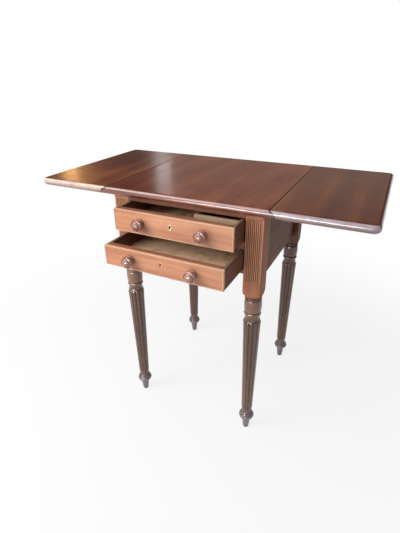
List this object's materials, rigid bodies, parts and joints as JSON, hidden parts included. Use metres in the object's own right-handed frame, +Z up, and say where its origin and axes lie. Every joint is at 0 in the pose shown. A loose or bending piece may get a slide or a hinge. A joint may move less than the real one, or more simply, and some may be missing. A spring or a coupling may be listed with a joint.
{
  "type": "drop-leaf side table",
  "caption": "Drop-leaf side table on turned, reeded legs, with stacked drawers on turned knobs and hinged leaves carried by swing-out brackets.",
  "frame": {"origin": "on the floor, midway between the four legs", "axes": "+X to the right along the row of leaves, +Y to the back, +Z up; the drawers open towards -Y"},
  "size_m": [0.896, 0.5825, 0.725],
  "materials": {
    "top_mahogany": "polished mahogany, dark red-brown",
    "leg_mahogany": "turned and reeded mahogany, worn polish",
    "carcass_mahogany": "dark mahogany, satin",
    "drawer_front_mahogany": "lighter figured mahogany, faded polish",
    "knob_mahogany": "turned mahogany, glossy",
    "drawer_wood": "plain planed wood, darkened",
    "secondary_wood": "plain planed wood",
    "pale_wood": "pale bare wood",
    "lining_paper": "aged paper, mottled green-grey",
    "brass": "aged brass",
    "steel": "plain steel"
  },
  "bodies": {
    "carcass": {"back_panel": "carcass_mahogany", "bottom_rail": "carcass_mahogany", "centre_top": "top_mahogany", "drawer_blade": "carcass_mahogany", "drawer_guides": "secondary_wood", "drawer_stops": "secondary_wood", "fly_pins": "steel", "fly_rail_left": "secondary_wood", "fly_rail_right": "secondary_wood", "fly_rail_screws": "steel", "hinge_pins": "steel", "hinge_top_plates": "brass", "hinge_top_screws": "steel", "kickers": "secondary_wood", "leg_back_left": "leg_mahogany", "leg_back_right": "leg_mahogany", "leg_front_left": "leg_mahogany", "leg_front_right": "leg_mahogany", "lower_runners": "secondary_wood", "side_panel_left": "carcass_mahogany", "side_panel_right": "carcass_mahogany", "top_rail": "carcass_mahogany", "top_screws": "steel", "upper_runners": "secondary_wood"},
    "bracket_left": {"fly_bracket_left": "secondary_wood"},
    "bracket_right": {"fly_bracket_right": "secondary_wood"},
    "leaf_left": {"hinge_leaf_plates_left": "brass", "hinge_leaf_screws_left": "steel", "leaf_left": "top_mahogany"},
    "leaf_right": {"hinge_leaf_plates_right": "brass", "hinge_leaf_screws_right": "steel", "leaf_right": "top_mahogany"},
    "lower_drawer": {"lower_drawer_back": "drawer_wood", "lower_drawer_bead": "drawer_front_mahogany", "lower_drawer_bottom": "drawer_wood", "lower_drawer_escutcheon": "brass", "lower_drawer_front": "drawer_front_mahogany", "lower_drawer_knob_left": "knob_mahogany", "lower_drawer_knob_right": "knob_mahogany", "lower_drawer_lining": "lining_paper", "lower_drawer_lock": "brass", "lower_drawer_side_left": "drawer_wood", "lower_drawer_side_right": "drawer_wood"},
    "upper_drawer": {"upper_drawer_back": "drawer_wood", "upper_drawer_bead": "drawer_front_mahogany", "upper_drawer_bottom": "drawer_wood", "upper_drawer_dividers": "pale_wood", "upper_drawer_escutcheon": "brass", "upper_drawer_front": "drawer_front_mahogany", "upper_drawer_knob_left": "knob_mahogany", "upper_drawer_knob_right": "knob_mahogany", "upper_drawer_lining": "lining_paper", "upper_drawer_lock": "brass", "upper_drawer_side_left": "drawer_wood", "upper_drawer_side_right": "drawer_wood"}
  },
  "joints": [
    {"name": "upper_drawer_slide", "type": "slide", "parent": "carcass", "child": "upper_drawer", "axis": [0, -1, 0], "range_m": [-0.066, 0.204]},
    {"name": "lower_drawer_slide", "type": "slide", "parent": "carcass", "child": "lower_drawer", "axis": [0, -1, 0], "range_m": [-0.117, 0.153]},
    {"name": "leaf_right_hinge", "type": "hinge", "parent": "carcass", "child": "leaf_right", "pos_m": [0.223, 0, 0.7085], "axis": [0, -1, 0], "range_deg": [-90, 0]},
    {"name": "leaf_left_hinge", "type": "hinge", "parent": "carcass", "child": "leaf_left", "pos_m": [-0.223, 0, 0.7085], "axis": [0, 1, 0], "range_deg": [-90, 0]},
    {"name": "bracket_right_swing", "type": "hinge", "parent": "carcass", "child": "bracket_right", "pos_m": [0.202, 0.012, 0.676], "axis": [0, 0, 1], "range_deg": [0, 90]},
    {"name": "bracket_left_swing", "type": "hinge", "parent": "carcass", "child": "bracket_left", "pos_m": [-0.202, 0.012, 0.676], "axis": [0, 0, -1], "range_deg": [0, 90]}
  ]
}
